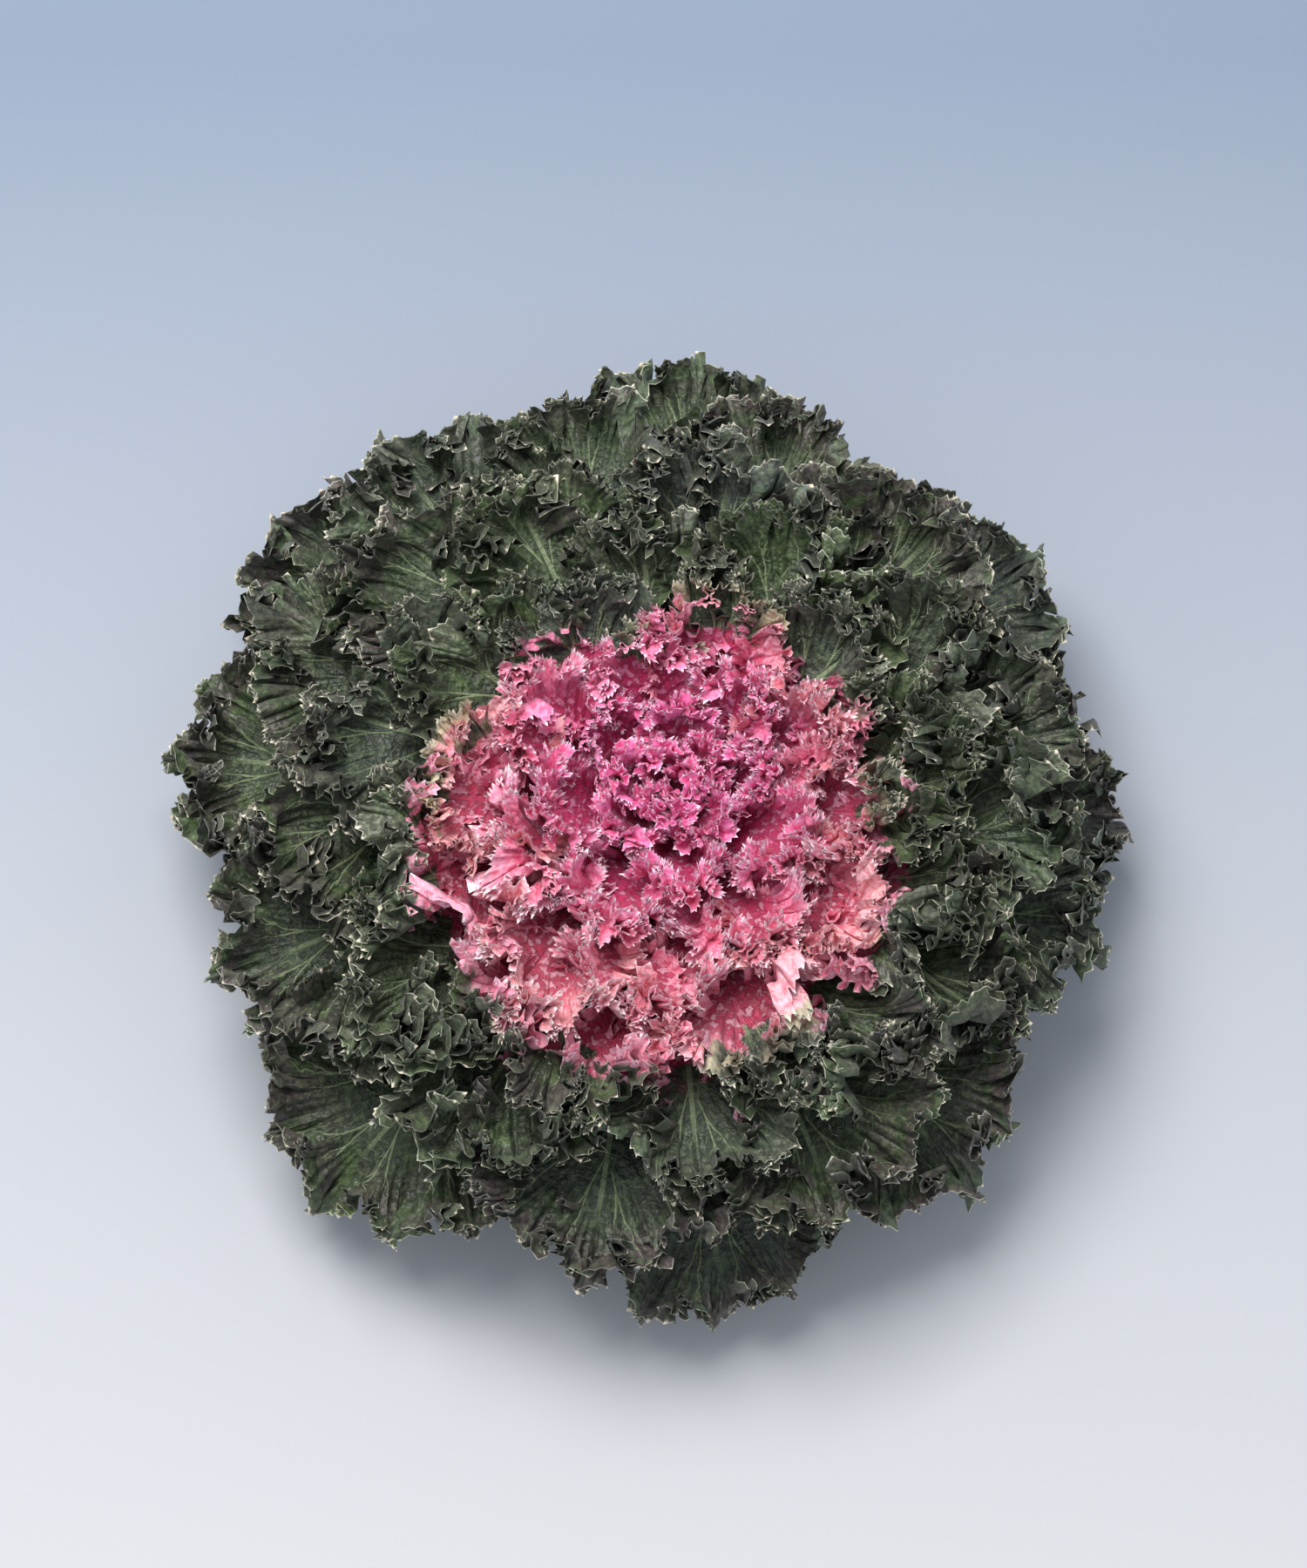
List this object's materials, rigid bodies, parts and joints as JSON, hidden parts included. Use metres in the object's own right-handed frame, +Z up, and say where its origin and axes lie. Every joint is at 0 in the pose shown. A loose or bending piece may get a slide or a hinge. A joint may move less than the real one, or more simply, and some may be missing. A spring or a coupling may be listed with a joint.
{
  "type": "ornamental kale plant",
  "caption": "Cut head of ornamental kale: a low dome of ruffled green leaves round a rose-coloured crown, on a short stalk.",
  "frame": {"origin": "centre of the stalk's flat cut end, on the surface that the head stands on", "axes": "+Z up along the stalk, away from the cut end; -Y towards the side that the head is seen from"},
  "size_m": [0.3966, 0.4061, 0.1383],
  "materials": {
    "stalk": "matt, pale green, slightly woody",
    "green_leaf": "satin, dark green with pale veins and rims",
    "rose_leaf": "satin, rose with darker veins and pale frilled edges",
    "bud": "satin, magenta"
  },
  "bodies": {
    "root": {"stalk": "stalk", "green_leaf_01": "green_leaf", "green_leaf_02": "green_leaf", "green_leaf_03": "green_leaf", "green_leaf_04": "green_leaf", "green_leaf_05": "green_leaf", "green_leaf_06": "green_leaf", "green_leaf_07": "green_leaf", "green_leaf_08": "green_leaf", "green_leaf_09": "green_leaf", "green_leaf_10": "green_leaf", "green_leaf_11": "green_leaf", "green_leaf_12": "green_leaf", "green_leaf_13": "green_leaf", "green_leaf_14": "green_leaf", "green_leaf_15": "green_leaf", "green_leaf_16": "green_leaf", "green_leaf_17": "green_leaf", "green_leaf_18": "green_leaf", "green_leaf_19": "green_leaf", "green_leaf_20": "green_leaf", "green_leaf_21": "green_leaf", "green_leaf_22": "green_leaf", "green_leaf_23": "green_leaf", "green_leaf_24": "green_leaf", "green_leaf_25": "green_leaf", "green_leaf_26": "green_leaf", "green_leaf_27": "green_leaf", "green_leaf_28": "green_leaf", "green_leaf_29": "green_leaf", "green_leaf_30": "green_leaf", "green_leaf_31": "green_leaf", "green_leaf_32": "green_leaf", "green_leaf_33": "green_leaf", "green_leaf_34": "green_leaf", "green_leaf_35": "green_leaf", "green_leaf_36": "green_leaf", "green_leaf_37": "green_leaf", "green_leaf_38": "green_leaf", "green_leaf_39": "green_leaf", "green_leaf_40": "green_leaf", "green_leaf_41": "green_leaf", "green_leaf_42": "green_leaf", "green_leaf_43": "green_leaf", "rose_leaf_01": "rose_leaf", "rose_leaf_02": "rose_leaf", "rose_leaf_03": "rose_leaf", "rose_leaf_04": "rose_leaf", "rose_leaf_05": "rose_leaf", "rose_leaf_06": "rose_leaf", "rose_leaf_07": "rose_leaf", "rose_leaf_08": "rose_leaf", "rose_leaf_09": "rose_leaf", "rose_leaf_10": "rose_leaf", "rose_leaf_11": "rose_leaf", "rose_leaf_12": "rose_leaf", "rose_leaf_13": "rose_leaf", "rose_leaf_14": "rose_leaf", "rose_leaf_15": "rose_leaf", "bud": "bud"}
  },
  "joints": []
}
